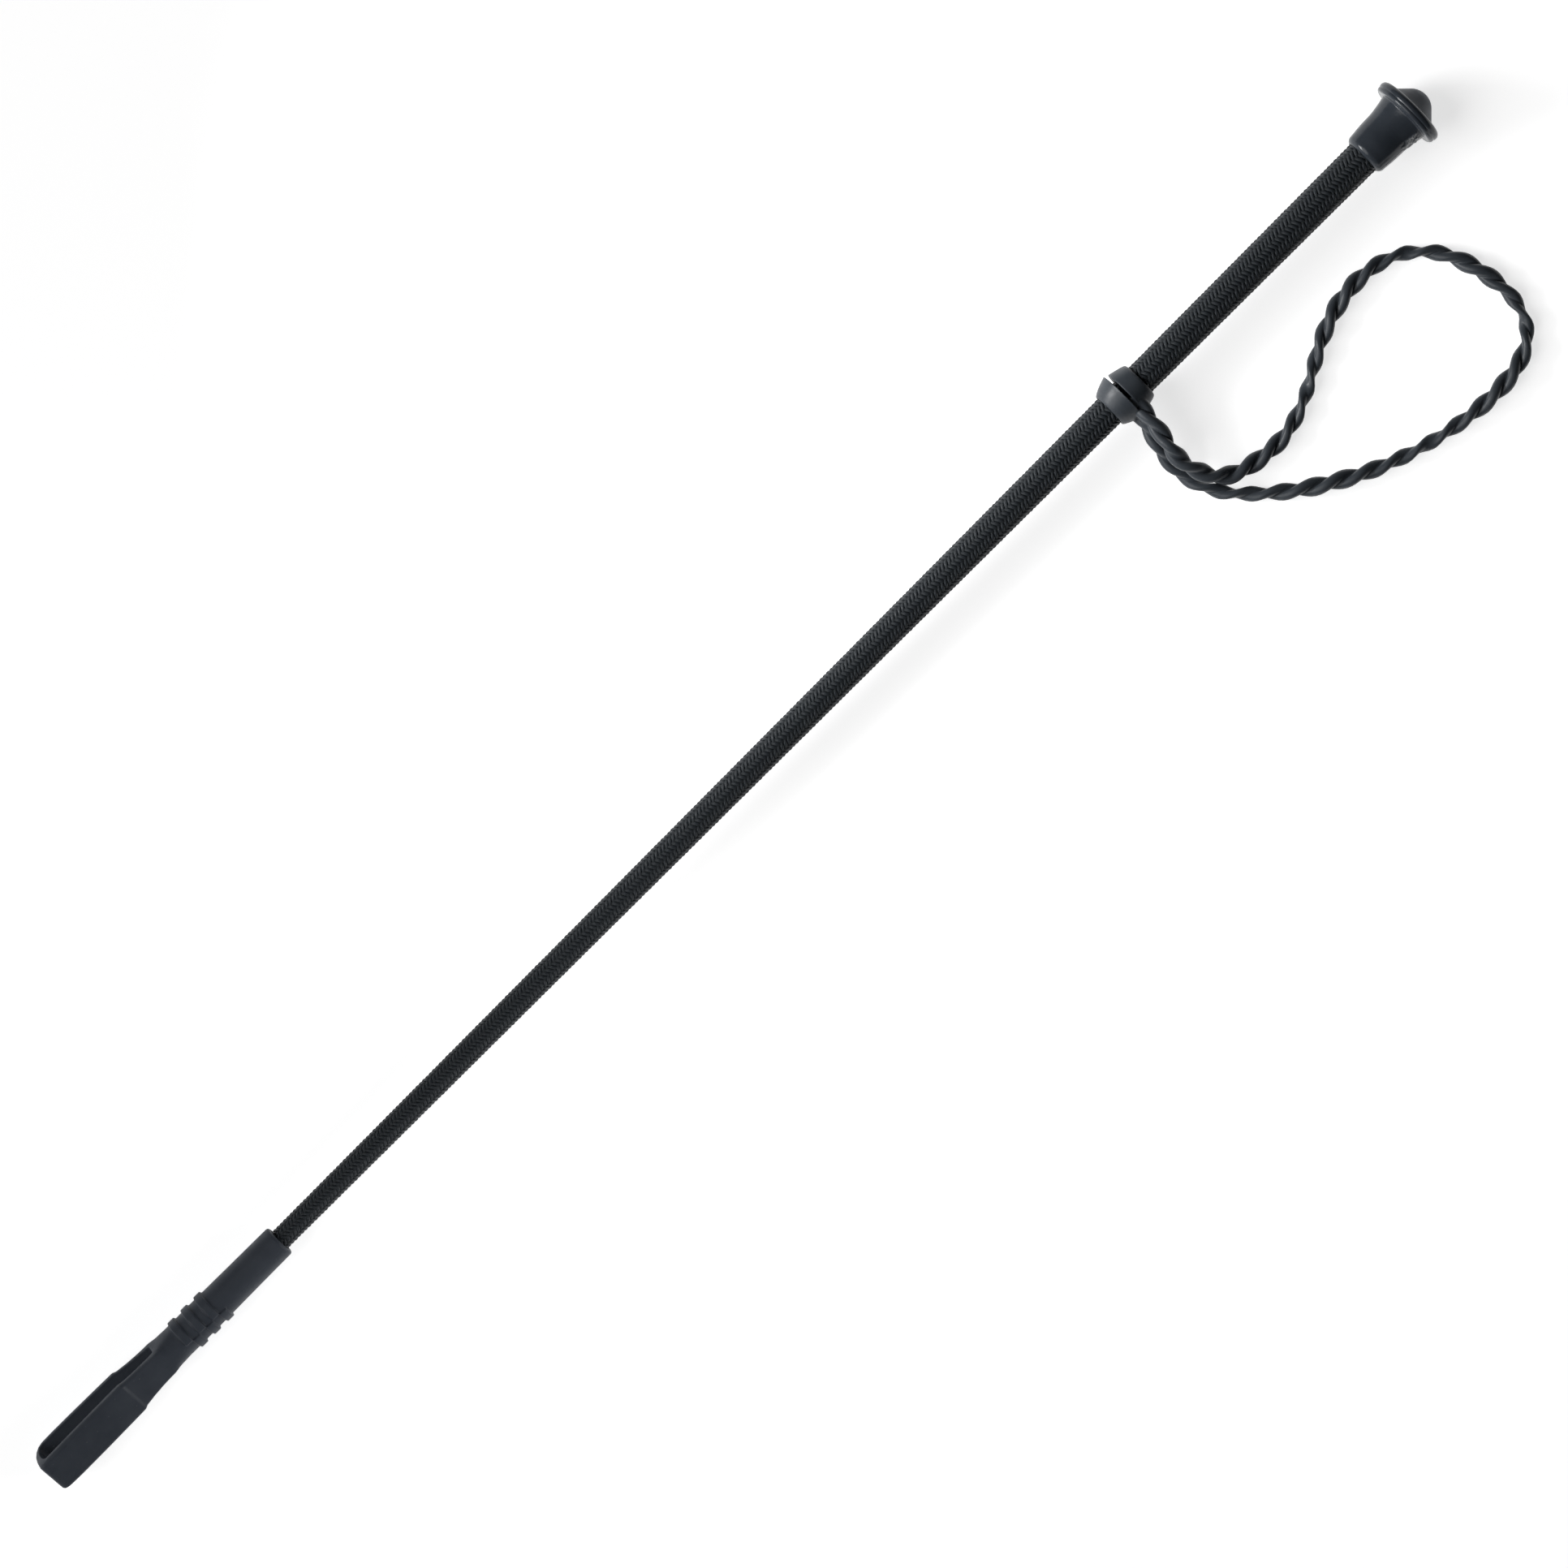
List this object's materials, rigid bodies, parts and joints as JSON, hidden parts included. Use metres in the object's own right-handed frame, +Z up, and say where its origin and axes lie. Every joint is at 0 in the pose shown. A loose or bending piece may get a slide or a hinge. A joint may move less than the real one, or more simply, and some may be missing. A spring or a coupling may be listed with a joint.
{
  "type": "riding crop",
  "caption": "Riding crop with a braided tapered shaft, mushroom cap, twisted rubber wrist loop on a flared collar and a slotted rubber keeper.",
  "frame": {"origin": "on the surface that the crop lies on, below the middle of its length and its shaft", "axes": "+Y along the crop towards the mushroom cap, +X towards the side where the wrist loop lies, +Z up"},
  "size_m": [0.1027, 0.65, 0.026],
  "materials": {
    "fibreglass": "gloss",
    "padding": "matt",
    "braid": "satin",
    "polished_rubber": "satin",
    "satin_rubber": "matt"
  },
  "bodies": {
    "crop": {"core_rod": "fibreglass", "taper_padding": "padding", "braided_cover": "braid", "butt_whipping": "braid", "tip_whipping": "braid", "mushroom_cap": "polished_rubber", "keeper_ferrule": "satin_rubber"},
    "flap": {"keeper_flap": "satin_rubber"},
    "loop_collar": {"upper_ring": "polished_rubber", "lower_ring": "polished_rubber"},
    "wrist_loop": {"strap_root": "satin_rubber", "loop_strap": "satin_rubber"}
  },
  "joints": [
    {"name": "flap_flex", "type": "hinge", "parent": "crop", "child": "flap", "pos_m": [0, -0.26804, 0.00924], "axis": [-0.8746, -0.0031, 0.4848], "range_deg": [0, 35], "stiffness_Nm_per_rad": 0.6},
    {"name": "loop_swivel", "type": "hinge", "parent": "crop", "child": "loop_collar", "pos_m": [0, 0.1833, 0.01214], "axis": [0, -1, -0.0064], "continuous": true},
    {"name": "loop_swing", "type": "hinge", "parent": "loop_collar", "child": "wrist_loop", "pos_m": [0.01415, 0.1824, 0.01214], "axis": [0, -0.0064, 1], "range_deg": [-60, 10], "stiffness_Nm_per_rad": 0.03}
  ]
}
